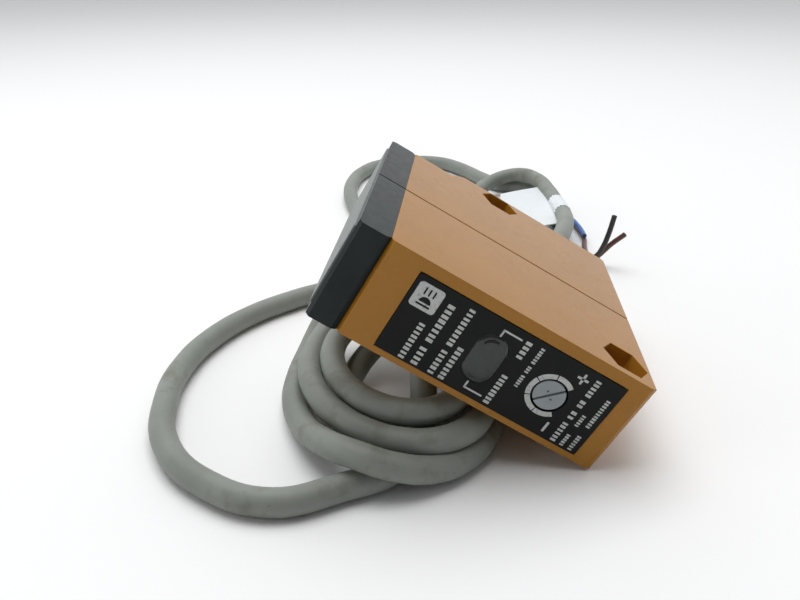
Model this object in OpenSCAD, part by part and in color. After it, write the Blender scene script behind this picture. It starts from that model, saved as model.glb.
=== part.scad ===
// Block-type photoelectric sensor lying on its side, propped up on its own coiled cable.
// Row frame: +Z up, +X towards the rear of the sensor, +Y towards its cable side.
// Body frame: x from the optical face to the rear, y from the label face to the cable
// face, z from the lower side face to the upper one. in_body() tips it into the row frame.

/* [Body] */
// Length of the housing from the front cap's face to the rear
body_len = 51; // [50:0.5:54]
// Height of the front cap, along the optical face
cap_h = 49.8; // [49:0.1:50.1]
// Height of the housing at its cable end
body_h = 54; // [53.5:0.1:55]
// Thickness of the housing between its two side faces
body_t = 17.1; // [16.8:0.1:18]
// Thickness of the front cap
cap_len = 5.2; // [4.6:0.1:5.6]
// Wall thickness of the housing
wall = 1.5; // [1.2:0.1:1.7]
// Angle at which the sensor leans back on its coiled cable
lean = 30; // [28:0.5:30]

/* [Mounting] */
// Diameter of the two through holes for M4 screws
screw_hole = 4.4; // [4.2:0.1:4.6]
// Width across flats of the nut pockets
nut_flats = 7.2; // [7.1:0.05:7.3]
// Depth of the nut pockets
nut_depth = 3.5; // [3:0.1:4]

/* [Controls] */
// Diameter of the sensitivity adjuster's disc
knob_d = 5.1; // [4.8:0.1:5.2]
// Width of the indicator window along the housing
window_w = 5; // [4.6:0.1:5.2]
// Length of the indicator window across the label face
window_l = 8.7; // [8:0.1:9]

/* [Cable] */
// Outside diameter of the cable
cable_d = 4.4; // [4.2:0.1:4.4]
// Outside diameter of each insulated core
core_d = 1.3; // [1.1:0.1:1.4]

/* [Hidden] */

eps = 0.01;
window_proud = 0.3;
bush_proud = 4;
dome_proud = 0.6;
// Where the row frame's origin sits under the tipped housing
half_w = (body_len * cos(lean) + body_t * sin(lean)) / 2;
mid_y = (body_h + bush_proud - dome_proud) / 2;
lift = body_len * sin(lean);

// Housing outline, seen square to its side faces
step_y = 50.2;
step_x0 = 13.5;
step_x1 = 16.5;
edge_r = 0.8;
groove_y = 25;
groove_w = 0.4;
groove_deep = 0.3;

// Mounting holes: [x, y] of each, bosses round them
holes = [[46.3, 5.3], [25, 50.1]];
nut_corner_r = nut_flats / 2 / cos(30);
thin_boss_r = 3.6;
nut_boss_r = 5.4;
nut_boss_z = body_t - nut_depth - 1.2;

// Front: window seat, lip of the cap
seat_deep = 0.9;
seat_gap = 0.05;
window_y = [1.4, 48.4];
window_z = [1.4, 15.7];
aperture_y = [3.4, 46.4];
aperture_z = [2.9, 14.2];
lip_len = 3;
lip_wall = 1.1;
lip_gap = 0.1;
gasket_x = [6.2, 7.2];
gasket_deep = 0.5;

// Optics: two channels, one above the other
channel_y = [14.2, 35.6];
channel_z = 8.55;
lens_size = [20, 10.6];
lens_x = 2;
lens_rim = 0.9;
lens_crown = 1.8;
holder_x = [5.6, 18.8];
holder_y = [3.6, 46.2];
holder_z = [3.2, 13.9];
optics_board_x = 19;
board_t = 1;

// Label face: panel, indicator window and adjuster, as [x, z]
panel_x = [11.2, 47.2];
panel_z = [1.1, 15.1];
panel_t = 0.5;
panel_sunk = 0.35;
lamp = [26.4, 8.05];
knob = [37.9, 8.0];
knob_r = knob_d / 2;
knob_t = 1.6;
knob_sunk = 0.05;
slot_w = 0.35;
slot_deep = 0.5;
slot_angle = 48;
panel_hole_r = knob_r + 0.25;
wall_hole_r = 3.3;
neck_r = 1.2;
trimmer_r = 3.5;
trimmer_y = [2.6, 9.4];
control_y = 9.4;

// Boards and what they carry
main_x = [21.5, 47.5];
main_y = [13, 44];
main_z = 2.6;
main_top = main_z + board_t;
post_at = [[24.5, 40.5], [44.5, 16.5]];

// Cable entry in the cable face
entry = [43, body_t / 2];
cable_r = cable_d / 2;
bush_bore = cable_r + 0.05;
core_r = core_d / 2;

// Route of the cable from the bush, over itself and back to the coil, in the row frame
arch_route = [[15.2, 29.3, 11.4], [16, 35, 11.4], [18.2, 43, 11.2], [20.4, 51, 10.9],
  [22.5, 61, 10], [23.8, 71, 8.7], [24.2, 81, 7.4], [23.6, 92, 6.8], [22.3, 104, 6.9],
  [19.8, 115, 7.2], [15, 122, 7], [9.6, 122.6, 6], [4.6, 119.8, 4.5], [0.6, 113, 3.4],
  [-2.4, 103, 2.6], [-4, 91, 2.2], [-3.6, 75, 2.2], [-2.4, 60, 2.2], [-1.2, 45, 2.2],
  [-0.4, 30, 2.2], [0.1, 15, 2.2], [0.3, 4, 2.2]];
// Route from the coil round the large loop, behind the sensor, to the cut end
loop_route = [[-13.4, -34.8, 2.2], [-19.4, -38.6, 2.2], [-29.4, -43.2, 2.2], [-40.4, -39.7, 2.2],
  [-49.4, -31, 2.2], [-54.4, -18, 2.2], [-55.7, -5, 2.2], [-53.7, 7, 2.2], [-48.4, 18.5, 2.2],
  [-40.9, 27.5, 2.2], [-32.9, 35, 2.2], [-27.4, 45, 2.2], [-25.4, 56, 2.2], [-26.4, 68, 2.2],
  [-29.9, 80, 2.2], [-34.4, 91, 2.2], [-38.2, 102, 2.2], [-40.6, 113, 2.2], [-41.4, 125, 2.2],
  [-39.9, 137, 2.2], [-35.4, 147, 2.2], [-27.4, 153, 2.2], [-19.2, 155.3, 2.2],
  [-12, 153.3, 2.2], [-6.6, 148, 2.2], [-1.8, 140.8, 2.2], [2.6, 133.2, 2.2], [7, 127.4, 2.2],
  [13, 124.2, 2.2], [19, 121.2, 2.2], [23, 115.5, 2.2], [24.2, 108.5, 2.2]];
// Stripped cores beyond the cut end
black_route = [[24, 108.6, 3.1], [23.4, 100, 0.9], [23, 92, 0.8], [24, 83, 0.8], [26, 74, 0.8],
  [28, 66, 0.9], [29.8, 60.6, 1.8], [31, 58.2, 3.6], [32, 57.5, 6], [33, 57.3, 9.5],
  [34, 57.4, 14.4]];
brown_route = [[25, 108.8, 1.3], [27.4, 100, 0.8], [28.9, 94.3, 0.8], [29.8, 88.2, 0.8],
  [30.4, 82.5, 0.8], [30.4, 77.5, 0.8], [29.8, 72.5, 0.8], [29.6, 67, 0.8], [30.3, 62.8, 1.1],
  [31.4, 60.4, 2.4], [32.6, 59.4, 4.2], [34.2, 58.9, 6.3], [37.4, 58.7, 9.2]];
blue_route = [[23.2, 108.6, 1.3], [25.6, 100.5, 0.8], [27.1, 96, 1.1], [28.4, 92.2, 1.8],
  [29.5, 86.3, 2], [30.1, 80.8, 2], [30.3, 77.2, 2]];

// Coil under the sensor: ring of the turns' outer shape
coil_at = [-11.8, -13.5];
coil_out = 21;
coil_in = 8;
coil_top = 11;
tag_at = 7;
tag_len = 14;
flag_w = 14;
flag_y = [73, 106];
flag_t = 0.3;
tube_sides = 10;
strand_proud = 0.1;

/* Shared shapes and functions */

// Body frame into the row frame
module in_body() {
  translate([-half_w, -mid_y, lift])
    rotate([0, lean, 0])
      children();
}

// Box from its lowest and highest corners
module span(a, b) {
  translate(a)
    cube(b - a);
}

// Places children on the label face at [x, z], their +Z pointing out of the face
module on_label(at) {
  translate([at[0], 0, at[1]])
    rotate([90, 0, 0])
      children();
}

// Cylinder along y between two y values
module rod_y(at, r, y) {
  translate([at[0], y[1], at[1]])
    rotate([90, 0, 0])
      cylinder(r = r, h = y[1] - y[0], $fn = 48);
}

// Slot-shaped outline, long across the label face
module stadium(w, l) {
  hull()
    for (s = [-1, 1])
      translate([0, s * (l - w) / 2])
        circle(d = w, $fn = 48);
}

// Cylinder turned square to the side faces, for mounting bores
module bore_z(at, r, z) {
  translate([at[0], at[1], z[0]])
    cylinder(r = r, h = z[1] - z[0], $fn = 64);
}

function unit(v) = v / norm(v);
function heading(p, i) = unit(p[min(i + 1, len(p) - 1)] - p[max(i - 1, 0)]);
function ring(c, t, r, n, ref) =
  let (side = unit(cross(t, ref)), top = cross(side, t))
  [for (j = [0:n - 1]) c + r * (cos(360 * j / n) * side + sin(360 * j / n) * top)];

// Round tube swept along a list of points
module tube(route, r, n = tube_sides, ref = [0, 0, 1]) {
  rings = len(route);
  points = [for (i = [0:rings - 1]) each ring(route[i], heading(route, i), r, n, ref)];
  sides = [for (i = [0:rings - 2]) for (j = [0:n - 1])
    [i * n + j, i * n + (j + 1) % n, (i + 1) * n + (j + 1) % n, (i + 1) * n + j]];
  ends = [[for (j = [n - 1:-1:0]) j], [for (j = [0:n - 1]) (rings - 1) * n + j]];
  polyhedron(points = points, faces = concat(sides, ends), convexity = 8);
}

/* Housing */

module case_outline() {
  offset(r = edge_r)
    offset(delta = -edge_r)
      polygon([[cap_len, 0], [body_len, 0], [body_len, body_h], [step_x1, body_h],
        [step_x0, step_y], [cap_len, step_y]]);
}

module case_hollow() {
  difference() {
    translate([0, 0, wall])
      linear_extrude(height = body_t - 2 * wall)
        polygon([[cap_len - 1, wall], [body_len - wall, wall], [body_len - wall, body_h - wall],
          [step_x1 + 0.5, body_h - wall], [step_x0 + 0.5, step_y - wall],
          [cap_len - 1, step_y - wall]]);
    for (h = holes) {
      bore_z(h, thin_boss_r, [0, body_t]);
      bore_z(h, nut_boss_r, [nut_boss_z, body_t]);
    }
    for (p = post_at)
      bore_z(p, 2, [0, main_z]);
  }
}

module nut_pocket(at) {
  translate([at[0], at[1], body_t - nut_depth])
    cylinder(r = nut_corner_r, h = nut_depth + 1, $fn = 6);
}

module case() {
  color("#b28a55")
    in_body()
      difference() {
        linear_extrude(height = body_t)
          case_outline();
        case_hollow();
        for (h = holes) {
          bore_z(h, screw_hole / 2, [-1, body_t + 1]);
          nut_pocket(h);
        }
        for (z = [-1, body_t - groove_deep])
          translate([cap_len - 1, groove_y - groove_w / 2, z])
            cube([body_len, groove_w, groove_deep + 1]);
        span([panel_x[0], -1, panel_z[0]], [panel_x[1], panel_sunk, panel_z[1]]);
        on_label(lamp)
          translate([0, 0, -wall - 1])
            linear_extrude(height = wall + 2)
              stadium(window_w, window_l);
        rod_y(knob, wall_hole_r, [-1, wall + 1]);
        rod_y(entry, 4.2, [body_h - wall - 1, body_h + 1]);
        for (p = post_at)
          bore_z(p, 0.8, [1, main_z + 1]);
      }
}

module cap_frame(inset, x) {
  span([x[0], inset, inset], [x[1], step_y - inset, body_t - inset]);
}

module front_cap() {
  color("#20272a")
    in_body()
      difference() {
        union() {
          linear_extrude(height = body_t)
            offset(r = edge_r)
              offset(delta = -edge_r)
                square([cap_len, cap_h]);
          cap_frame(wall + lip_gap, [cap_len - 1, cap_len + lip_len]);
        }
        span([-1, window_y[0], window_z[0]], [seat_deep, window_y[1], window_z[1]]);
        span([-1, aperture_y[0], aperture_z[0]], [cap_len + 1, aperture_y[1], aperture_z[1]]);
        span([cap_len - 2, wall + lip_gap + lip_wall, wall + lip_gap + lip_wall],
          [cap_len + lip_len + 1, step_y - wall - lip_gap - lip_wall,
           body_t - wall - lip_gap - lip_wall]);
        difference() {
          cap_frame(0, gasket_x);
          cap_frame(wall + gasket_deep, [gasket_x[0] - 1, gasket_x[1] + 1]);
        }
        for (z = [-1, body_t - groove_deep])
          translate([-1, groove_y - groove_w / 2, z])
            cube([cap_len + 2, groove_w, groove_deep + 1]);
      }
}

module front_window() {
  color("#9aa6a0")
    in_body()
      span([-window_proud, window_y[0] + seat_gap, window_z[0] + seat_gap],
        [seat_deep, window_y[1] - seat_gap, window_z[1] - seat_gap]);
}

module cap_gasket() {
  color("#2b2b2b")
    in_body()
      difference() {
        cap_frame(wall, gasket_x);
        cap_frame(wall + gasket_deep, [gasket_x[0] - 1, gasket_x[1] + 1]);
      }
}

/* Optics */

module light_tunnel(y) {
  hull() {
    translate([holder_x[0] - eps, y - 9.2, channel_z - 4.4])
      cube([0.1, 18.4, 8.8]);
    translate([holder_x[1] + eps - 0.1, y - 3.4, channel_z - 2.8])
      cube([0.1, 6.8, 5.6]);
  }
}

module optic_holder() {
  color("#26282b")
    in_body()
      difference() {
        span([holder_x[0], holder_y[0], holder_z[0]], [holder_x[1], holder_y[1], holder_z[1]]);
        for (y = channel_y)
          light_tunnel(y);
      }
}

// Plano-convex lens cut to a rectangle, its crown towards the window
module lens(y) {
  crown_r = (pow(lens_size[0] / 2, 2) + pow(lens_crown, 2)) / (2 * lens_crown);
  intersection() {
    span([lens_x - lens_crown, y - lens_size[0] / 2, channel_z - lens_size[1] / 2],
      [holder_x[0], y + lens_size[0] / 2, channel_z + lens_size[1] / 2]);
    translate([lens_x - lens_crown + crown_r + seat_deep, y, channel_z])
      sphere(r = crown_r, $fn = 96);
  }
}

module emitter_lens() {
  color("#8a3030", 0.7)
    in_body()
      lens(channel_y[0]);
}

module receiver_lens() {
  color("#c9d2d6", 0.7)
    in_body()
      lens(channel_y[1]);
}

module emitter_led() {
  color("#7a2020")
    in_body() {
      translate([optics_board_x, channel_y[0], channel_z])
        rotate([0, -90, 0]) {
          cylinder(d = 3.8, h = 1, $fn = 32);
          cylinder(d = 3, h = 3.6, $fn = 32);
          translate([0, 0, 3.6])
            sphere(d = 3, $fn = 32);
        }
    }
}

module photodiode() {
  color("#303a44")
    in_body()
      span([optics_board_x - 1.2, channel_y[1] - 1.6, channel_z - 1.6],
        [optics_board_x, channel_y[1] + 1.6, channel_z + 1.6]);
}

module photodiode_shield() {
  color("#b9bcc0")
    in_body()
      difference() {
        span([optics_board_x - 2.4, channel_y[1] - 2.5, channel_z - 2.5],
          [optics_board_x, channel_y[1] + 2.5, channel_z + 2.5]);
        span([optics_board_x - 2.1, channel_y[1] - 2.2, channel_z - 2.2],
          [optics_board_x + 1, channel_y[1] + 2.2, channel_z + 2.2]);
        translate([optics_board_x - 3, channel_y[1], channel_z])
          rotate([0, 90, 0])
            cylinder(d = 2.6, h = 2, $fn = 32);
      }
}

/* Electronics */

module optics_board() {
  color("#2f6b3c")
    in_body()
      span([optics_board_x, 4, 3], [optics_board_x + board_t, 46, 14.2]);
}

module main_board() {
  color("#2f6b3c")
    in_body()
      difference() {
        span([main_x[0], main_y[0], main_z], [main_x[1], main_y[1], main_top]);
        for (p = post_at)
          bore_z(p, 1, [main_z - 1, main_top + 1]);
      }
}

module control_board() {
  color("#2f6b3c")
    in_body()
      span([22.5, control_y, 2.6], [41.5, control_y + board_t, 12.2]);
}

// Flat ribbon from the optics board to the main board
module board_link() {
  color("#c8a24a")
    in_body() {
      span([optics_board_x + board_t, 22, 3.9], [optics_board_x + board_t + 0.3, 30, 6.4]);
      span([optics_board_x + board_t + 0.3, 22, 3.9], [23.6, 30, 4.2]);
      span([23.3, 22, main_top], [23.6, 30, 3.9]);
    }
}

module pin_header() {
  color("#c9b36a")
    in_body()
      for (i = [0:4]) {
        span([27 + 2 * i, control_y + board_t, 5.2], [27.5 + 2 * i, 14.5, 5.7]);
        span([27 + 2 * i, 14, main_top], [27.5 + 2 * i, 14.5, 5.2]);
      }
}

// Small outline chip with gull-wing legs on its two long sides
module flat_chip(at, size, legs) {
  span([at[0], at[1], main_top + 0.1], [at[0] + size[0], at[1] + size[1], main_top + 0.1 + size[2]]);
  for (i = [0:legs - 1]) {
    x = at[0] + (i + 0.5) * size[0] / legs;
    span([x - 0.2, at[1] - 0.8, main_top], [x + 0.2, at[1], main_top + 0.7]);
    span([x - 0.2, at[1] + size[1], main_top], [x + 0.2, at[1] + size[1] + 0.8, main_top + 0.7]);
  }
}

module sensor_ic() {
  color("#1d1d1f")
    in_body()
      flat_chip([26.5, 22], [8.6, 4.4, 1.6], 7);
}

module regulator_ic() {
  color("#1d1d1f")
    in_body()
      flat_chip([37.5, 22], [5, 4, 1.5], 4);
}

module output_transistor() {
  color("#242427")
    in_body() {
      span([37.5, 31, main_top], [42, 33.5, main_top + 1.5]);
      span([38, 33.5, main_top], [41.5, 34.6, main_top + 0.4]);
      for (i = [0:2])
        span([38 + 1.5 * i, 29.8, main_top], [38.5 + 1.5 * i, 31, main_top + 0.5]);
    }
}

module smoothing_capacitor() {
  color("#2c3f66")
    in_body()
      translate([30, 37, main_top])
        cylinder(d = 6.3, h = 7, $fn = 48);
}

module chip_parts() {
  color("#8d7a5c")
    in_body() {
      for (i = [0:4])
        span([26 + 2.4 * i, 29.5, main_top], [27.2 + 2.4 * i, 31.5, main_top + 0.6]);
      for (i = [0:2])
        span([38 + 2.2 * i, 38, main_top], [39.2 + 2.2 * i, 40, main_top + 0.6]);
    }
}

module board_screws() {
  color("#b7b9bd")
    in_body()
      for (p = post_at) {
        bore_z(p, 1.6, [main_top, main_top + 1]);
        bore_z(p, 0.75, [1.2, main_top]);
      }
}

/* Controls on the label face */

module adjuster_housing() {
  color("#2d4f86")
    in_body()
      difference() {
        rod_y(knob, trimmer_r, trimmer_y);
        rod_y(knob, neck_r + 0.1, [trimmer_y[0] - 1, trimmer_y[1] - 1.5]);
      }
}

// Sensitivity adjuster: slotted disc on its spindle, pointer dot beside the slot
module adjuster_knob() {
  face = panel_t - panel_sunk - knob_sunk;
  color("#aeb6c0")
    in_body()
      difference() {
        union() {
          rod_y(knob, knob_r, [-face, knob_t - face]);
          rod_y(knob, neck_r, [knob_t - face - 0.1, trimmer_y[1] - 2]);
        }
        on_label(knob)
          rotate([0, 0, slot_angle])
            translate([-knob_r - 1, -slot_w / 2, face - slot_deep])
              cube([2 * knob_r + 2, slot_w, 1]);
      }
}

module adjuster_seal() {
  color("#1f1f1f")
    in_body()
      on_label(knob)
        translate([0, 0, -2])
          rotate_extrude($fn = 48)
            translate([1.75, 0])
              circle(r = 0.45, $fn = 24);
}

module label_panel() {
  color("#16191a")
    in_body()
      difference() {
        translate([0, panel_sunk, 0])
          rotate([90, 0, 0])
            linear_extrude(height = panel_t)
              offset(r = 0.6, $fn = 32)
                offset(delta = -0.65)
                  translate([panel_x[0], panel_z[0]])
                    square([panel_x[1] - panel_x[0], panel_z[1] - panel_z[0]]);
        on_label(lamp)
          translate([0, 0, -1])
            linear_extrude(height = 2)
              stadium(window_w, window_l);
        rod_y(knob, panel_hole_r, [-1, 1]);
      }
}

module indicator_window() {
  color("#4a4440", 0.8)
    in_body()
      on_label(lamp) {
        translate([0, 0, -1.9])
          linear_extrude(height = 2)
            stadium(window_w - 0.1, window_l - 0.1);
        hull()
          for (s = [-1, 1])
            translate([0, s * (window_l - window_w) / 2, 0.1])
              scale([1, 1, (dome_proud - 0.1) / (window_w / 2 - 0.05)])
                sphere(r = window_w / 2 - 0.05, $fn = 40);
      }
}

// Round lamp body standing on the control board
module small_lamp(z) {
  rod_y([lamp[0], z], 1.5, [3.6, control_y - 1.6]);
  rod_y([lamp[0], z], 1.8, [control_y - 1.6, control_y]);
  translate([lamp[0], 3.6, z])
    sphere(r = 1.5, $fn = 32);
}

module light_led() {
  color("#b03030")
    in_body()
      small_lamp(lamp[1] + 2);
}

module stability_led() {
  color("#3c9a4a")
    in_body()
      small_lamp(lamp[1] - 2);
}

/* Cable entry */

module cable_bush() {
  color("#8f958f")
    in_body()
      translate([entry[0], body_h, entry[1]])
        rotate([-90, 0, 0])
          rotate_extrude($fn = 64)
            polygon([[bush_bore, -2.9], [5, -2.9], [5, -wall - 0.05], [4.15, -wall - 0.05],
              [4.15, 0.05], [4.8, 0.05], [4.8, 1], [3.7, 1.6], [3.1, bush_proud],
              [bush_bore, bush_proud]]);
}

module cable_stub() {
  color("#8c9188")
    in_body()
      rod_y(entry, cable_r, [body_h - 7, body_h + bush_proud]);
}

module cable_clamp() {
  color("#b7b9bd")
    in_body()
      difference() {
        rod_y(entry, cable_r + 0.8, [body_h - 5.5, body_h - 3]);
        rod_y(entry, cable_r + 0.02, [body_h - 6, body_h - 2]);
      }
}

// Three cores from the stripped end of the cable down to their solder pads
module inner_cores() {
  in_body()
    for (i = [-1:1])
      color(["#2f5fa8", "#74452f", "#202020"][i + 1])
        tube([[entry[0] + 1.2 * i, body_h - 7, entry[1]], [entry[0] + 1.4 * i, body_h - 9, entry[1] - 0.8],
          [entry[0] + 1.6 * i, body_h - 11, 5.8], [entry[0] + 1.6 * i, body_h - 11.6, main_top]],
          0.5, 8, [1, 0, 0]);
}

/* Free cable */

module cable_arch() {
  color("#8c9188")
    tube(arch_route, cable_r);
}

// Four leaning turns as one ring, cut where the sensor lies on them
module cable_coil() {
  color("#8c9188")
    difference() {
      translate([coil_at[0], coil_at[1], 0])
        rotate_extrude($fn = 64)
          polygon([[coil_in, 0], [coil_out, 0], [coil_out, 6], [coil_out - 5, coil_top],
            [coil_in + 2, coil_top], [coil_in, 6]]);
      in_body()
        span([-5, -0.5, -0.3], [body_len + 10, body_h, body_t]);
    }
}

module cable_loop() {
  color("#8c9188")
    tube(loop_route, cable_r);
}

// White tape wrapped round the cable, its ends stuck together as a blank flag
module cable_tag() {
  a = arch_route[tag_at - 1];
  b = arch_route[tag_at];
  mid = (a + b) / 2;
  way = unit(b - a);
  color("#e8ecee")
    difference() {
      union() {
        tube([mid - tag_len / 2 * way, mid + tag_len / 2 * way], cable_r + 0.35, 16);
        translate([mid[0] - flag_w, flag_y[0], mid[2] - flag_t / 2])
          cube([flag_w, flag_y[1] - flag_y[0], flag_t]);
      }
      tube([mid - 40 * way, mid + 40 * way], cable_r + 0.1, 16);
    }
}

module wire_brown() {
  color("#6a4038")
    tube(brown_route, core_r, 8, [1, 0.2, 0]);
}

module wire_blue() {
  color("#3f6fb5")
    tube(blue_route, core_r, 8, [1, 0.2, 0]);
}

module wire_black() {
  color("#262628")
    tube(black_route, core_r, 8, [1, 0.2, 0]);
}

// Cut strands, level with the tip of a core
module strand_end(route) {
  last = route[len(route) - 1];
  way = heading(route, len(route) - 1);
  tube([last, last + strand_proud * way], 0.4, 8, [1, 0.2, 0]);
}

module copper_ends() {
  color("#b06a3a")
    for (r = [brown_route, blue_route, black_route])
      strand_end(r);
}

case();
front_cap();
front_window();
cap_gasket();
optic_holder();
emitter_lens();
receiver_lens();
emitter_led();
photodiode();
photodiode_shield();
optics_board();
main_board();
control_board();
board_link();
pin_header();
sensor_ic();
regulator_ic();
output_transistor();
smoothing_capacitor();
chip_parts();
board_screws();
adjuster_housing();
adjuster_knob();
adjuster_seal();
label_panel();
indicator_window();
light_led();
stability_led();
cable_bush();
cable_stub();
cable_clamp();
inner_cores();
cable_arch();
cable_coil();
cable_loop();
cable_tag();
wire_brown();
wire_blue();
wire_black();
copper_ends();
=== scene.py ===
"""Looks of a block-type photoelectric sensor lying on its own coiled cable."""
import math
import random

import bmesh
import bpy
from mathutils import Matrix, Vector


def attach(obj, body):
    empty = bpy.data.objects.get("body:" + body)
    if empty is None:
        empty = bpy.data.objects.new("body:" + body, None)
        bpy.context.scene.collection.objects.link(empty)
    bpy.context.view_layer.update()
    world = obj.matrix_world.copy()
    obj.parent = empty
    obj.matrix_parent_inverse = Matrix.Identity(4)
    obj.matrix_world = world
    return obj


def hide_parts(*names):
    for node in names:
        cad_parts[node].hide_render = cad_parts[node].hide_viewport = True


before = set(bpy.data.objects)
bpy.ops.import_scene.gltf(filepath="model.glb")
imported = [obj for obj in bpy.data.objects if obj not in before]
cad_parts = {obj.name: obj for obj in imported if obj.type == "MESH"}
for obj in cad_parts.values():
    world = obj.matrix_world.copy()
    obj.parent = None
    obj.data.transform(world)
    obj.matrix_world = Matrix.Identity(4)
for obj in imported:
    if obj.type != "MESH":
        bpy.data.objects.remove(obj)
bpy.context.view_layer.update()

MM = 0.001

# ---------------------------------------------------------------- dimensions, in millimetres
BODY_LEN, BODY_H, BODY_T = 51.0, 54.0, 17.1
LEAN = math.radians(30)
BUSH_PROUD, DOME_PROUD = 4.0, 0.6
PANEL_FACE = 0.15
LAMP = (26.4, 8.05)
LAMP_SIZE = (5.0, 8.7)
KNOB = (37.9, 8.0)
KNOB_FACE = 0.10
SLOT_ANGLE = 48
CABLE_D, CORE_D = 4.4, 1.3

half_w = (BODY_LEN * math.cos(LEAN) + BODY_T * math.sin(LEAN)) / 2
mid_y = (BODY_H + BUSH_PROUD - DOME_PROUD) / 2
BODY = (
    Matrix.Scale(MM, 4)
    @ Matrix.Translation((-half_w, -mid_y, BODY_LEN * math.sin(LEAN)))
    @ Matrix.Rotation(LEAN, 4, "Y")
)
# Label face: u towards the rear, v up the face, w out of it
LABEL = BODY @ Matrix(((1, 0, 0, 0), (0, 0, -1, 0), (0, 1, 0, 0), (0, 0, 0, 1)))
SENSOR, ADJUSTER = "sensor", "adjuster"

# ---------------------------------------------------------------- camera
scene = bpy.context.scene
scene.view_settings.view_transform = "Standard"
camera = bpy.data.objects.new("camera", bpy.data.cameras.new("camera"))
scene.collection.objects.link(camera)
camera.data.lens = 35.06
camera.data.sensor_width = 36
camera.data.clip_start = 0.01
camera.location = (-0.0033, -0.1315, 0.0749)
camera.rotation_euler = (math.radians(90 - 24.28), 0, math.radians(4.91))
scene.camera = camera


# ---------------------------------------------------------------- node materials
class Nodes:
    """A material's node tree, with short calls for the nodes that this script uses."""

    def __init__(self, name):
        self.material = bpy.data.materials.new(name)
        self.material.use_nodes = True
        self.tree = self.material.node_tree
        self.shader = self.tree.nodes["Principled BSDF"]
        self.coords = self.add("ShaderNodeTexCoord").outputs["Object"]

    def add(self, kind, **settings):
        n = self.tree.nodes.new(kind)
        for key, value in settings.items():
            setattr(n, key, value)
        return n

    def link(self, source, target):
        self.tree.links.new(source, target)

    def set(self, **sockets):
        for key, value in sockets.items():
            self.shader.inputs[key.replace("_", " ")].default_value = value

    def noise(self, scale, detail=4, rough=0.55, stretch=None):
        n = self.add("ShaderNodeTexNoise")
        n.inputs["Scale"].default_value = scale
        n.inputs["Detail"].default_value = detail
        n.inputs["Roughness"].default_value = rough
        source = self.coords
        if stretch:
            m = self.add("ShaderNodeMapping")
            m.inputs["Scale"].default_value = stretch
            self.link(self.coords, m.inputs["Vector"])
            source = m.outputs["Vector"]
        self.link(source, n.inputs["Vector"])
        return n.outputs["Fac"]

    def ramp(self, source, stops):
        n = self.add("ShaderNodeValToRGB")
        while len(n.color_ramp.elements) < len(stops):
            n.color_ramp.elements.new(0.5)
        for element, (place, colour) in zip(n.color_ramp.elements, stops):
            element.position = place
            element.color = (*colour, 1) if len(colour) == 3 else colour
        self.link(source, n.inputs["Fac"])
        return n.outputs["Color"]

    def mix(self, factor, a, b, blend="MIX"):
        n = self.add("ShaderNodeMix", data_type="RGBA", blend_type=blend)
        for value, name in ((factor, "Factor"), (a, "A"), (b, "B")):
            socket = next(s for s in n.inputs if s.name == name and s.enabled)
            if isinstance(value, bpy.types.NodeSocket):
                self.link(value, socket)
            elif name == "Factor":
                socket.default_value = value
            else:
                socket.default_value = (*value, 1)
        return next(s for s in n.outputs if s.enabled)

    def spread(self, source, low, high):
        n = self.add("ShaderNodeMapRange")
        n.inputs["To Min"].default_value = low
        n.inputs["To Max"].default_value = high
        self.link(source, n.inputs["Value"])
        return n.outputs["Result"]

    def bump(self, height, strength, distance, under=None):
        n = self.add("ShaderNodeBump")
        n.inputs["Strength"].default_value = strength
        n.inputs["Distance"].default_value = distance
        self.link(height, n.inputs["Height"])
        if under:
            self.link(under, n.inputs["Normal"])
        return n.outputs["Normal"]

    def colour(self, source):
        self.link(source, self.shader.inputs["Base Color"])

    def roughness(self, source):
        self.link(source, self.shader.inputs["Roughness"])

    def normal(self, source):
        self.link(source, self.shader.inputs["Normal"])


def shade(colour, k):
    return tuple(min(1.0, c * k) for c in colour)


def plastic(name, colour, rough=0.45, mottle=0.12, grain=9000, depth=0.00002, gloss=0.5):
    """Moulded plastic: slow mottling, fine spark-eroded grain, uneven gloss."""
    n = Nodes(name)
    slow = n.noise(180, 3)
    fine = n.noise(2600, 3)
    base = n.ramp(slow, [(0.3, shade(colour, 1 - mottle)), (0.7, shade(colour, 1 + mottle))])
    n.colour(n.mix(n.spread(fine, 0, 0.25), base, shade(colour, 0.8)))
    n.roughness(n.spread(n.noise(700, 4), rough - 0.08, rough + 0.12))
    n.normal(n.bump(n.noise(grain, 2), 0.35, depth))
    n.shader.inputs["Specular IOR Level"].default_value = gloss
    return n.material


def metal(name, colour, rough=0.3):
    n = Nodes(name)
    lines = n.noise(900, 4, stretch=(1, 1, 14))
    n.colour(n.ramp(lines, [(0.3, shade(colour, 0.8)), (0.7, colour)]))
    n.roughness(n.spread(lines, rough - 0.08, rough + 0.15))
    n.normal(n.bump(lines, 0.2, 0.00002))
    n.set(Metallic=1.0)
    return n.material


def clear(name, colour, rough=0.08, through=0.9, grain=2500, depth=0.00001, gloss=0.5):
    """Clear or tinted moulding."""
    n = Nodes(name)
    flow = n.noise(260, 3)
    n.colour(n.ramp(flow, [(0.3, shade(colour, 0.92)), (0.7, colour)]))
    n.roughness(n.spread(n.noise(500, 3), max(0.02, rough - 0.03), rough + 0.06))
    n.normal(n.bump(n.noise(grain, 2), 0.25, depth))
    n.set(IOR=1.49, Transmission_Weight=through, Specular_IOR_Level=gloss)
    return n.material


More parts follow.
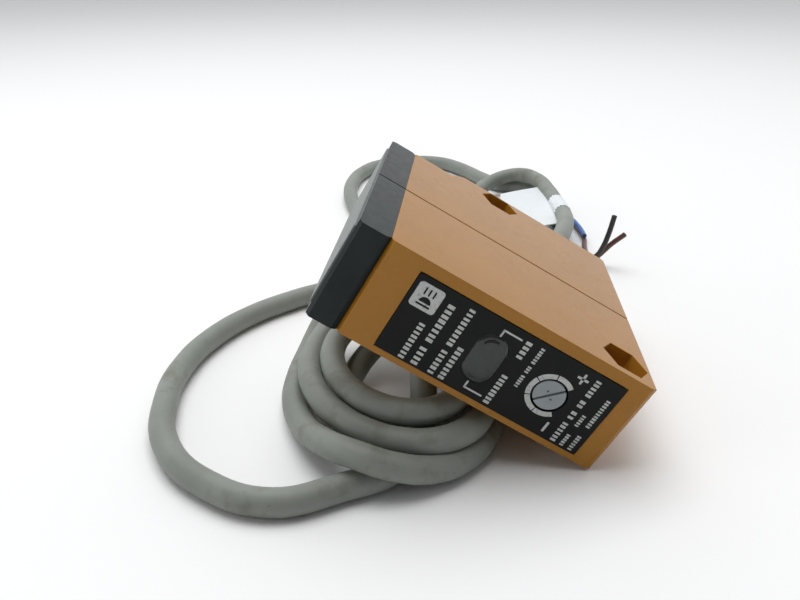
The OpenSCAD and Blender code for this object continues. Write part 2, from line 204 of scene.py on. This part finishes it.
def board(name, colour):
    """Solder mask over copper tracks."""
    n = Nodes(name)
    tracks = n.add("ShaderNodeTexBrick")
    tracks.inputs["Scale"].default_value = 420
    tracks.inputs["Mortar Size"].default_value = 0.09
    n.link(n.coords, tracks.inputs["Vector"])
    n.colour(n.mix(tracks.outputs["Fac"], shade(colour, 0.8), shade(colour, 1.7)))
    n.roughness(n.spread(n.noise(900), 0.25, 0.45))
    n.normal(n.bump(tracks.outputs["Fac"], 0.3, 0.00003))
    return n.material


def housing_plastic():
    """Orange-tan moulding: glossy at a low angle, with stains, rubbed patches and fine grain."""
    n = Nodes("housing_plastic")
    colour = (0.39, 0.170, 0.018)
    slow = n.noise(70, 4)
    stain = n.noise(240, 6, 0.65)
    base = n.ramp(slow, [(0.25, shade(colour, 0.92)), (0.75, shade(colour, 1.06))])
    dirty = n.mix(n.ramp(stain, [(0.60, (0, 0, 0)), (0.78, (0.3, 0.3, 0.3))]), base, (0.22, 0.10, 0.03))
    specks = n.ramp(n.noise(1500, 2), [(0.70, (0, 0, 0)), (0.76, (0.5, 0.5, 0.5))])
    n.colour(n.mix(specks, dirty, shade(colour, 0.75)))
    n.roughness(n.spread(n.noise(420, 5), 0.16, 0.34))
    n.normal(n.bump(n.noise(7000, 2), 0.18, 0.00001, n.bump(n.noise(300, 3), 0.1, 0.00005)))
    n.set(Specular_IOR_Level=0.26)
    return n.material


def cap_plastic():
    """Blue-black moulding of the front cap, scuffed along its faces."""
    n = Nodes("cap_plastic")
    colour = (0.009, 0.014, 0.015)
    slow = n.noise(160, 5)
    base = n.ramp(slow, [(0.3, shade(colour, 0.8)), (0.72, shade(colour, 1.5))])
    scuffs = n.ramp(n.noise(520, 6, 0.7, (1, 1, 3)), [(0.62, (0, 0, 0)), (0.8, (0.3, 0.3, 0.3))])
    n.colour(n.mix(scuffs, base, (0.06, 0.075, 0.075)))
    n.roughness(n.spread(n.noise(600, 4), 0.26, 0.45))
    n.normal(n.bump(n.noise(5200, 2), 0.3, 0.00002))
    n.set(Specular_IOR_Level=0.2)
    return n.material


def sheath_pvc():
    """Grey cable sheath: soft sheen, handling dirt, faint lay of the cores beneath."""
    n = Nodes("sheath_pvc")
    colour = (0.250, 0.268, 0.240)
    slow = n.noise(90, 4)
    base = n.ramp(slow, [(0.3, shade(colour, 0.86)), (0.7, shade(colour, 1.08))])
    smear = n.ramp(n.noise(150, 5, 0.6), [(0.54, (0, 0, 0)), (0.70, (0.6, 0.6, 0.6))])
    dirty = n.mix(smear, base, (0.13, 0.125, 0.085))
    spots = n.ramp(n.noise(900, 3, 0.6), [(0.72, (0, 0, 0)), (0.76, (0.6, 0.6, 0.6))])
    n.colour(n.mix(spots, dirty, (0.08, 0.07, 0.05)))
    n.roughness(n.spread(n.noise(500, 4), 0.42, 0.62))
    n.normal(n.bump(n.noise(3800, 2), 0.2, 0.00002, n.bump(n.noise(160, 2), 0.15, 0.0002)))
    n.set(Specular_IOR_Level=0.4)
    return n.material


def panel_film():
    """Black printed film of the label panel."""
    n = Nodes("panel_film")
    slow = n.noise(220, 4)
    base = n.ramp(slow, [(0.3, (0.003, 0.0042, 0.0036)), (0.7, (0.006, 0.0075, 0.0062))])
    dust = n.ramp(n.noise(1800, 4, 0.7), [(0.68, (0, 0, 0)), (0.78, (0.25, 0.25, 0.25))])
    n.colour(n.mix(dust, base, (0.03, 0.03, 0.028)))
    n.roughness(n.spread(n.noise(800, 4), 0.32, 0.5))
    n.normal(n.bump(n.noise(6000, 2), 0.2, 0.00001))
    n.set(Specular_IOR_Level=0.16)
    return n.material


def white_ink():
    """Screen-printed white, thin and slightly broken."""
    n = Nodes("white_ink")
    worn = n.noise(2400, 5, 0.65)
    stops = [(0.30, (0.22, 0.23, 0.22)), (0.44, (0.50, 0.52, 0.50)), (0.8, (0.60, 0.62, 0.60))]
    n.colour(n.ramp(worn, stops))
    n.roughness(n.spread(n.noise(900), 0.4, 0.6))
    n.normal(n.bump(worn, 0.2, 0.00001))
    return n.material


def cloth_tape():
    """White cloth-backed tape with a fine weave."""
    n = Nodes("cloth_tape")
    wave = n.add("ShaderNodeTexWave")
    wave.inputs["Scale"].default_value = 900
    wave.inputs["Distortion"].default_value = 1.5
    n.link(n.coords, wave.inputs["Vector"])
    n.colour(n.mix(n.spread(n.noise(300, 4), 0, 0.6), (0.80, 0.84, 0.86), (0.66, 0.70, 0.72)))
    n.roughness(n.spread(n.noise(700), 0.5, 0.75))
    n.normal(n.bump(wave.outputs["Fac"], 0.3, 0.00004))
    n.shader.inputs["Subsurface Weight"].default_value = 0.1
    n.shader.inputs["Subsurface Radius"].default_value = (0.001, 0.001, 0.001)
    return n.material


M_HOUSING = housing_plastic()
M_CAP = cap_plastic()
M_SHEATH = sheath_pvc()
M_PANEL = panel_film()
M_INK = white_ink()
M_TAPE = cloth_tape()
M_WINDOW = clear("window_clear", (0.24, 0.27, 0.26), 0.42, 0.3, 1800, 0.00005, 0.12)
M_RED_LENS = clear("lens_red", (0.55, 0.05, 0.05), 0.05, 0.8)
M_CLEAR_LENS = clear("lens_clear", (0.85, 0.88, 0.9), 0.04, 0.9)
M_SMOKE = clear("window_smoked", (0.17, 0.21, 0.19), 0.07, 0.92, 1500, 0.00002)
M_RED_LAMP = clear("lamp_red", (0.70, 0.04, 0.03), 0.15, 0.4)
M_GREEN_LAMP = clear("lamp_green", (0.06, 0.50, 0.12), 0.15, 0.4)
M_RUBBER = plastic("rubber_black", (0.02, 0.02, 0.02), 0.7, 0.2, 3000, 0.00003, 0.3)
M_BUSH = plastic("bush_grey", (0.20, 0.22, 0.20), 0.62, 0.12, 3000, 0.00003, 0.35)
M_HOLDER = plastic("holder_black", (0.018, 0.018, 0.02), 0.6)
M_CHIP = plastic("chip_black", (0.02, 0.02, 0.022), 0.55, 0.15, 6000, 0.00002)
M_TAN = plastic("chip_tan", (0.25, 0.17, 0.09), 0.5)
M_SLEEVE = plastic("sleeve_blue", (0.02, 0.04, 0.16), 0.3)
M_TRIMMER = plastic("trimmer_blue", (0.02, 0.07, 0.26), 0.4)
M_KNOB = plastic("knob_grey", (0.30, 0.335, 0.345), 0.36, 0.1, 5000, 0.00002)
M_GAP = plastic("knob_dark", (0.03, 0.035, 0.04), 0.5)
M_BROWN = plastic("core_brown", (0.115, 0.045, 0.032), 0.42, 0.15)
M_BLUE = plastic("core_blue", (0.045, 0.13, 0.42), 0.42, 0.15)
M_BLACK = plastic("core_black", (0.022, 0.021, 0.021), 0.42, 0.2)
M_RIBBON = plastic("ribbon_amber", (0.42, 0.22, 0.03), 0.35)
M_BOARD = board("board_green", (0.015, 0.085, 0.028))
M_TIN = metal("tinned_steel", (0.62, 0.63, 0.64), 0.3)
M_BRASS = metal("brass_pin", (0.70, 0.52, 0.20), 0.3)
M_COPPER = metal("copper_strand", (0.16, 0.10, 0.07), 0.5)

NODE_MATERIALS = {
    "case": M_HOUSING, "front_cap": M_CAP, "front_window": M_WINDOW, "cap_gasket": M_RUBBER,
    "optic_holder": M_HOLDER, "emitter_lens": M_RED_LENS, "receiver_lens": M_CLEAR_LENS,
    "emitter_led": M_RED_LAMP, "photodiode": M_CHIP, "photodiode_shield": M_TIN,
    "optics_board": M_BOARD, "main_board": M_BOARD, "control_board": M_BOARD,
    "board_link": M_RIBBON, "pin_header": M_BRASS, "sensor_ic": M_CHIP, "regulator_ic": M_CHIP,
    "output_transistor": M_CHIP, "smoothing_capacitor": M_SLEEVE, "chip_parts": M_TAN,
    "board_screws": M_TIN, "adjuster_housing": M_TRIMMER, "adjuster_knob": M_KNOB,
    "adjuster_seal": M_RUBBER, "label_panel": M_PANEL, "indicator_window": M_SMOKE,
    "light_led": M_RED_LAMP, "stability_led": M_GREEN_LAMP, "cable_bush": M_BUSH,
    "cable_stub": M_SHEATH, "cable_clamp": M_TIN, "inner_cores": M_BROWN,
    "cable_arch": M_SHEATH, "cable_coil": M_SHEATH, "cable_loop": M_SHEATH,
    "cable_tag": M_TAPE, "wire_brown": M_BROWN, "wire_blue": M_BLUE, "wire_black": M_BLACK,
    "copper_ends": M_COPPER,
}
for name, material in NODE_MATERIALS.items():
    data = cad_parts[name].data
    data.materials.clear()
    data.materials.append(material)


# ---------------------------------------------------------------- cable and its cores
ARCH = [
    (15.2, 29.3, 11.4), (16, 35, 11.4), (18.2, 43, 11.2), (20.4, 51, 10.9), (22.5, 61, 10),
    (23.8, 71, 8.7), (24.2, 81, 7.4), (23.6, 92, 6.8), (22.3, 104, 6.9), (19.8, 115, 7.2),
    (15, 122, 7), (9.6, 122.6, 6), (4.6, 119.8, 4.5), (0.6, 113, 3.4), (-2.4, 103, 2.6),
    (-4, 91, 2.2), (-3.6, 75, 2.2), (-2.4, 60, 2.2), (-1.2, 45, 2.2), (-0.4, 30, 2.2),
    (0.1, 15, 2.2),
]
LOOP = [
    (-13.4, -34.8, 2.2), (-19.4, -38.6, 2.2), (-29.4, -43.2, 2.2), (-40.4, -39.7, 2.2),
    (-49.4, -31, 2.2), (-54.4, -18, 2.2), (-55.7, -5, 2.2), (-53.7, 7, 2.2), (-48.4, 18.5, 2.2),
    (-40.9, 27.5, 2.2), (-32.9, 35, 2.2), (-27.4, 45, 2.2), (-25.4, 56, 2.2), (-26.4, 68, 2.2),
    (-29.9, 80, 2.2), (-34.4, 91, 2.2), (-38.2, 102, 2.2), (-40.6, 113, 2.2), (-41.4, 125, 2.2),
    (-39.9, 137, 2.2), (-35.4, 147, 2.2), (-27.4, 153, 2.2), (-19.2, 155.3, 2.2),
    (-12, 153.3, 2.2), (-6.6, 148, 2.2), (-1.8, 140.8, 2.2), (2.6, 133.2, 2.2), (7, 127.4, 2.2),
    (13, 124.2, 2.2), (19, 121.2, 2.2), (23, 115.5, 2.2), (24.2, 108.5, 2.2),
]
# Each turn of the coil: right side x, y, z, left side x, y, z, bow to the front, then bow to the back
# and rise of the half turn behind. These values follow from no driving dimension. Curve fits and a
# random search for turns that keep apart, both in separate programs, gave them and the two points that
# end the coil, and 18 of the 45 numbers were then changed by hand.
TURNS = [
    (-1.9, -4.9, 2.2, -23.0, -9.2, 2.4, 11.6, 12.5, 4.0),
    (-2.4, -17.0, 8.9, -26.0, -7.5, 8.8, 15.0, 15.4, 4.6),
    (1.4, -17.5, 6.0, -30.1, -7.0, 6.8, 19.4, 19.4, 9.0),
    (2.7, -15.0, 2.2, -33.0, -7.0, 2.2, 24.2, 22.6, 10.6),
    (-9.1, -18.8, 10.9),
]
HALF_TURN_POINTS = 9
# Where the last turn passes over the loop: rise, shift to the front, and centre and width in degrees
HUMP_RISE, HUMP_SHIFT, HUMP_AT, HUMP_WIDE = 4.4, 2.5, 101, 33


def blend(a, b, s):
    return a + (b - a) * s


def coil_points():
    """Leaning turns: each runs right to left in front, then left to the next turn's right behind."""
    points = []
    last = len(TURNS) - 2
    for k, (turn, after) in enumerate(zip(TURNS, TURNS[1:])):
        right, left, front, back, rise = Vector(turn[:3]), Vector(turn[3:6]), *turn[6:]
        for start, end, bow, climb in ((right, left, -front, 0), (left, Vector(after[:3]), back, rise)):
            for i in range(HALF_TURN_POINTS):
                angle = math.pi * i / HALF_TURN_POINTS
                point = start.lerp(end, (1 - math.cos(angle)) / 2)
                point.y += bow * math.sin(angle)
                point.z += climb * math.sin(angle) ** 2
                if k == last and bow < 0:
                    over = math.exp(-(((math.degrees(angle) - HUMP_AT) / HUMP_WIDE) ** 2))
                    point.y -= HUMP_SHIFT * over
                    point.z += HUMP_RISE * over
                points.append(tuple(point))
    points.append(TURNS[-1])
    points.append((-9.2, -26.4, 4.3))
    points.append((-11.8, -31.9, 2.2))
    return points


def smooth_curve(name, points, diameter, material, body=SENSOR):
    """Round cord through the points, in millimetres, on one smooth spline."""
    data = bpy.data.curves.new(name, "CURVE")
    data.dimensions = "3D"
    data.bevel_depth = diameter / 2 * MM
    data.bevel_resolution = 7
    data.resolution_u = 8
    data.use_fill_caps = True
    spline = data.splines.new("BEZIER")
    spline.bezier_points.add(len(points) - 1)
    for knot, point in zip(spline.bezier_points, points):
        knot.co = Vector(point) * MM
        knot.handle_left_type = knot.handle_right_type = "AUTO"
    data.materials.append(material)
    obj = bpy.data.objects.new(name, data)
    scene.collection.objects.link(obj)
    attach(obj, body)
    return obj


def spline_length(obj):
    copy = obj.copy()
    copy.data = obj.data.copy()
    copy.data.bevel_depth = 0
    scene.collection.objects.link(copy)
    mesh = copy.evaluated_get(bpy.context.evaluated_depsgraph_get()).to_mesh()
    total = sum((mesh.vertices[a].co - mesh.vertices[b].co).length for a, b in
                (e.vertices for e in mesh.edges))
    bpy.data.objects.remove(copy)
    return total


cable = smooth_curve("cable", ARCH + coil_points() + LOOP, CABLE_D, M_SHEATH)
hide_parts("cable_arch", "cable_coil", "cable_loop")

BLACK = [
    (24, 108.6, 3.1), (23.4, 100, 0.9), (23, 92, 0.8), (24, 83, 0.8), (26, 74, 0.8), (28, 66, 0.9),
    (29.8, 60.6, 1.8), (31, 58.2, 3.6), (32, 57.5, 6), (33, 57.3, 9.5), (34, 57.4, 14.4),
]
BROWN = [
    (25, 108.8, 1.3), (27.4, 100, 0.8), (28.9, 94.3, 0.8), (29.8, 88.2, 0.8), (30.4, 82.5, 0.8),
    (30.4, 77.5, 0.8), (29.8, 72.5, 0.8), (29.6, 67, 0.8), (30.3, 62.8, 1.1), (31.4, 60.4, 2.4),
    (32.6, 59.4, 4.2), (34.2, 58.9, 6.3), (37.4, 58.7, 9.2),
]
BLUE = [
    (23.2, 108.6, 1.3), (25.6, 100.5, 0.8), (27.1, 96, 1.1), (28.4, 92.2, 1.8), (29.5, 86.3, 2),
    (30.1, 80.8, 2), (30.3, 77.2, 2),
]
for colour, route, material in (
    ("black", BLACK, M_BLACK), ("brown", BROWN, M_BROWN), ("blue", BLUE, M_BLUE),
):
    wire = smooth_curve("core_" + colour, route, CORE_D, material)
    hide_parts("wire_" + colour)

# ---------------------------------------------------------------- mesh helpers


def mesh_object(name, bm, material, body=SENSOR, matrix=None, smooth=None):
    if matrix:
        bm.transform(matrix)
    bmesh.ops.recalc_face_normals(bm, faces=bm.faces)
    data = bpy.data.meshes.new(name)
    bm.to_mesh(data)
    bm.free()
    data.materials.append(material)
    obj = bpy.data.objects.new(name, data)
    scene.collection.objects.link(obj)
    if smooth is not None:
        data.shade_smooth()
        data.set_sharp_from_angle(angle=math.radians(smooth))
    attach(obj, body)
    return obj


def prism(bm, outline, low, high):
    """Solid between two heights over a closed outline of (u, v) points."""
    rings = [[bm.verts.new((u, v, w)) for u, v in outline] for w in (low, high)]
    count = len(outline)
    bm.faces.new(rings[0][::-1])
    bm.faces.new(rings[1])
    for i in range(count):
        j = (i + 1) % count
        bm.faces.new((rings[0][i], rings[0][j], rings[1][j], rings[1][i]))


def round_rect(u0, v0, u1, v1, r, steps=4):
    points = []
    corners = (
        (u1 - r, v1 - r, 0), (u0 + r, v1 - r, 90), (u0 + r, v0 + r, 180), (u1 - r, v0 + r, 270),
    )
    for cu, cv, start in corners:
        for i in range(steps + 1):
            a = math.radians(start + 90 * i / steps)
            points.append((cu + r * math.cos(a), cv + r * math.sin(a)))
    return points


def arc_band(cu, cv, inner, outer, start, end, steps=14):
    angles = [math.radians(blend(start, end, i / steps)) for i in range(steps + 1)]
    out = [(cu + outer * math.cos(a), cv + outer * math.sin(a)) for a in angles]
    back = [(cu + inner * math.cos(a), cv + inner * math.sin(a)) for a in reversed(angles)]
    return out + back


# ---------------------------------------------------------------- edges of the CAD parts


def soften(name, width, segments=2, angle=32):
    """Rounds a CAD part's sharp edges, as its mould would."""
    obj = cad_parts[name]
    weld = obj.modifiers.new("weld", "WELD")
    weld.merge_threshold = 0.000002
    flat = obj.modifiers.new("flat", "DECIMATE")
    flat.decimate_type = "DISSOLVE"
    flat.angle_limit = math.radians(0.5)
    bevel = obj.modifiers.new("bevel", "BEVEL")
    bevel.width = width * MM
    bevel.segments = segments
    bevel.limit_method = "ANGLE"
    bevel.angle_limit = math.radians(angle)
    bevel.harden_normals = False
    for face in obj.data.polygons:
        face.use_smooth = True
    normals = obj.modifiers.new("normals", "WEIGHTED_NORMAL")
    normals.keep_sharp = False
    normals.weight = 80


soften("case", 0.7, 4)
soften("front_cap", 0.35, 3)
soften("front_window", 0.2, 2)
soften("adjuster_knob", 0.1, 2)
soften("label_panel", 0.06, 2)

# ---------------------------------------------------------------- printing on the label panel
PRINT_T = 0.02
INK = (PANEL_FACE - 0.01, PANEL_FACE + PRINT_T)
DARK_INK = (PANEL_FACE, PANEL_FACE + 2 * PRINT_T)
LETTER_SEED = 7


def word_blocks(bm, u0, u1, t0, t1, words):
    """A line of print as rows of small plain blocks: the words' lengths are shares of the line."""
    low, high = BODY_T - t1, BODY_T - t0
    gap = 0.5 * (u1 - u0)
    unit = (high - low - gap * (len(words) - 1)) / sum(words)
    tall = 0.7 * (u1 - u0)
    middle = (u0 + u1) / 2
    for share in words:
        place, end = low, low + share * unit
        count = max(1, round(share * unit / (0.78 * tall)))
        pitch = (end - place) / count
        for _ in range(count):
            wide = pitch * random.uniform(0.52, 0.72)
            prism(bm, round_rect(middle - tall / 2, place, middle + tall / 2, place + wide, 0.06, 2),
                  *INK)
            place += pitch
        low = end + gap


random.seed(LETTER_SEED)
ink = bmesh.new()
for line in (
    (14.9, 16.3, 8.6, 15.6, (1,)),
    (17.0, 18.6, 3.9, 15.5, (1.1, 2.2)),
    (20.0, 21.4, 2.8, 15.5, (1.6, 2.4)),
    (21.8, 23.2, 9.1, 15.5, (1,)),
    (29.8, 31.2, 2.9, 6.3, (1,)),
    (29.8, 31.2, 9.5, 15.4, (1,)),
    (32.3, 33.2, 2.8, 10.5, (1.2, 0.7, 1.6)),
    (42.1, 43.4, 2.8, 10.8, (0.8, 0.7, 1.6)),
    (42.1, 43.4, 11.4, 15.5, (1,)),
    (43.9, 44.8, 9.0, 11.4, (1,)),
    (43.9, 44.8, 13.0, 15.5, (1,)),
    (45.4, 46.4, 4.9, 10.7, (1,)),
    (45.4, 46.4, 12.4, 15.5, (1,)),
):
    word_blocks(ink, *line)
# Scale round the adjuster, in five bands with gaps
GAP = 3
marks = (48, 101, 153, 207, 258, 312)
for low, high in zip(marks, marks[1:]):
    prism(ink, arc_band(*KNOB, 2.9, 3.72, low + GAP / 2, high - GAP / 2), *INK)
# Plus sign at the high end of the scale, minus sign at the low end
plus, minus = (40.5, 13.0), (40.5, 3.1)
for centre, bars in ((plus, ((0.95, 0.2), (0.2, 0.95))), (minus, ((0.2, 0.95),))):
    for w, h in bars:
        prism(ink, round_rect(centre[0] - w, centre[1] - h, centre[0] + w, centre[1] + h, 0.1, 2),
              *INK)
# Brackets from the two ends of the lamp window to their captions
for v_end, v_line in ((12.4, 13.6), (3.6, 2.4)):
    low, high = sorted((v_end, v_line))
    prism(ink, round_rect(26.15, low, 26.45, high, 0.1, 2), *INK)
    prism(ink, round_rect(26.15, v_line - 0.15, 29.4, v_line + 0.15, 0.1, 2), *INK)
# Plain pictogram: a lamp and its beam, dark on a white square
prism(ink, round_rect(11.95, 9.9, 16.15, 14.1, 0.55, 5), *INK)
panel_print = mesh_object("panel_print", ink, M_INK, SENSOR, LABEL)

dark = bmesh.new()
prism(dark, arc_band(14.05, 11.1, 0.0001, 0.95, 0, 180, 16), *DARK_INK)
for du in (-0.75, 0, 0.75):
    prism(dark, round_rect(14.05 + du - 0.13, 12.3, 14.05 + du + 0.13, 13.5, 0.1, 2), *DARK_INK)
prism(dark, round_rect(12.9, 10.5, 15.2, 10.8, 0.1, 2), *DARK_INK)
pictogram = mesh_object("pictogram", dark, M_PANEL, SENSOR, LABEL)

# ---------------------------------------------------------------- adjuster: pointer dots
dots = bmesh.new()
for side in (-1, 1):
    a = math.radians(SLOT_ANGLE + 90)
    cu, cv = KNOB[0] + side * 0.75 * math.cos(a), KNOB[1] + side * 0.75 * math.sin(a)
    prism(dots, arc_band(cu, cv, 0.0001, 0.16, 0, 359.9, 12), KNOB_FACE - 0.02, KNOB_FACE + 0.015)
knob_dots = mesh_object("knob_dots", dots, M_GAP, ADJUSTER, LABEL)

# ---------------------------------------------------------------- smoked lamp window
dome = bmesh.new()
RINGS, AROUND = 12, 56
half_u, half_v = LAMP_SIZE[0] / 2 - 0.05, LAMP_SIZE[1] / 2 - 0.05
straight = half_v - half_u


def stadium_loop(inset, w):
    """One loop of the window's outline, moved in by the inset."""
    points = []
    for i in range(AROUND):
        a = 2 * math.pi * i / AROUND
        r = half_u - inset
        shift = straight if math.sin(a) >= 0 else -straight
        points.append(dome.verts.new((LAMP[0] + r * math.cos(a), LAMP[1] + shift + r * math.sin(a), w)))
    return points


def crown(share):
    """Height of the window's face from its rim to its middle, with a shallow step near the rim."""
    step = 0.07 * math.exp(-(((share - 0.3) / 0.07) ** 2))
    return 0.12 + (DOME_PROUD - 0.12) * math.sin(share * math.pi / 2) ** 0.8 - step


loops = [stadium_loop(0, -1.9), stadium_loop(0, 0.12)]
for k in range(1, RINGS + 1):
    loops.append(stadium_loop((half_u - 0.12) * k / RINGS, crown(k / RINGS)))
for low, high in zip(loops, loops[1:]):
    for i in range(AROUND):
        j = (i + 1) % AROUND
        dome.faces.new((low[i], low[j], high[j], high[i]))
dome.faces.new(loops[-1])
dome.faces.new(loops[0][::-1])
lamp_window = mesh_object("lamp_window", dome, M_SMOKE, SENSOR, LABEL, 50)
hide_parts("indicator_window")

# ---------------------------------------------------------------- tape flag on the cable
TAG_A, TAG_B = Vector(ARCH[6]), Vector(ARCH[7])
axis = (TAG_B - TAG_A).normalized()
tag_mid = (TAG_A + TAG_B) / 2
across = axis.cross(Vector((0, 0, 1))).normalized()
over = across.cross(axis)
random.seed(LETTER_SEED)
tag = bmesh.new()
TEETH, TAG_HALF, TAG_R = 30, 6.8, CABLE_D / 2 + 0.14
edges = []
for end in (-1, 1):
    for r in (TAG_R, TAG_R - 0.12):
        ring = []
        for i in range(TEETH):
            a = 2 * math.pi * i / TEETH
            along = end * (TAG_HALF - (0.9 if i % 2 else 0.0) - random.uniform(0, 0.5))
            outward = across * math.cos(a) + over * math.sin(a)
            ring.append(tag.verts.new(tag_mid + axis * along + r * outward))
        edges.append(ring)
outer_a, inner_a, outer_b, inner_b = edges
for first, second in ((outer_a, outer_b), (inner_b, inner_a), (inner_a, outer_a), (outer_b, inner_b)):
    for i in range(TEETH):
        j = (i + 1) % TEETH
        tag.faces.new((first[i], first[j], second[j], second[i]))
# Flag: two layers pressed together, larger than the wrap and a little curled
COLS, ROWS, FLAG_T = 12, 16, 0.22
RIGHT_EDGE = ((22.6, 74), (22.2, 84), (21.2, 98), (19.4, 109.5))
LEFT_EDGE = ((8.6, 70), (8, 82), (7.6, 95), (7.8, 106))


def along_edge(edge, q):
    place = min(q * (len(edge) - 1), len(edge) - 1.000001)
    k = int(place)
    return [blend(a, b, place - k) for a, b in zip(edge[k], edge[k + 1])]


layers = []
for side in (-1, 1):
    grid = []
    for c in range(COLS + 1):
        s = c / COLS
        row = []
        for k in range(ROWS + 1):
            q = k / ROWS
            right, left = along_edge(RIGHT_EDGE, q), along_edge(LEFT_EDGE, q)
            lift = 0.5 * math.sin(3.0 * s) - 1.4 * s * s * (1.2 - q) + 0.25 * math.sin(5 * q + 2 * s)
            row.append(tag.verts.new((
                blend(right[0], left[0], s),
                blend(right[1], left[1], s),
                4.9 + 1.7 * (1 - s) ** 2 + lift + side * FLAG_T / 2,
            )))
        grid.append(row)
    layers.append(grid)
for grid in layers:
    for c in range(COLS):
        for k in range(ROWS):
            tag.faces.new((grid[c][k], grid[c + 1][k], grid[c + 1][k + 1], grid[c][k + 1]))
low, high = layers
rim = [(c, 0) for c in range(COLS)] + [(COLS, k) for k in range(ROWS)]
rim += [(c, ROWS) for c in range(COLS, 0, -1)] + [(0, k) for k in range(ROWS, 0, -1)]
for (c, k), (c2, k2) in zip(rim, rim[1:] + rim[:1]):
    tag.faces.new((low[c][k], low[c2][k2], high[c2][k2], high[c][k]))
flag = mesh_object("tape_flag", tag, M_TAPE, SENSOR, Matrix.Scale(MM, 4), 50)
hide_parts("cable_tag")

cable_length = spline_length(cable)
print("cable length", cable_length)

# ---------------------------------------------------------------- floor and light
floor_mesh = bmesh.new()
bmesh.ops.create_grid(floor_mesh, x_segments=1, y_segments=1, size=4)
floor_data = bpy.data.meshes.new("floor")
floor_mesh.to_mesh(floor_data)
floor_mesh.free()
floor = bpy.data.objects.new("floor", floor_data)
floor.location.z = -0.00005
scene.collection.objects.link(floor)
paper = Nodes("floor_paper")
paper.colour(paper.mix(paper.spread(paper.noise(3, 2), 0, 1), (0.93, 0.93, 0.93), (0.95, 0.95, 0.95)))
paper.set(Roughness=0.9)
floor.data.materials.append(paper.material)

# Sky: bright behind the object, dim in front of it
BACK_SKY, FRONT_SKY = 1.0, 0.14
world = bpy.data.worlds.new("studio")
scene.world = world
world.use_nodes = True
sky = world.node_tree
direction = sky.nodes.new("ShaderNodeTexCoord")
parts = sky.nodes.new("ShaderNodeSeparateXYZ")
fade = sky.nodes.new("ShaderNodeMapRange")
fade.interpolation_type = "SMOOTHSTEP"
fade.inputs["From Min"].default_value = -0.5
fade.inputs["From Max"].default_value = 0.7
fade.inputs["To Min"].default_value = FRONT_SKY
fade.inputs["To Max"].default_value = BACK_SKY
sky.links.new(direction.outputs["Generated"], parts.inputs["Vector"])
sky.links.new(parts.outputs["Y"], fade.inputs["Value"])
sky.links.new(fade.outputs["Result"], sky.nodes["Background"].inputs["Strength"])
sky.nodes["Background"].inputs["Color"].default_value = (0.97, 0.985, 1.0, 1)


def area_light(name, place, target, size, power, colour=(1, 1, 1)):
    light = bpy.data.lights.new(name, "AREA")
    light.size = size
    light.energy = power
    light.color = colour
    obj = bpy.data.objects.new(name, light)
    obj.location = place
    obj.rotation_euler = (Vector(target) - Vector(place)).to_track_quat("-Z", "Y").to_euler()
    scene.collection.objects.link(obj)
    return obj


area_light("overhead", (-0.1, 0.15, 0.8), (0, 0, 0.02), 0.7, 4.5)
area_light("fill_left", (-0.5, -0.2, 0.16), (-0.01, -0.02, 0.01), 0.3, 0.45)
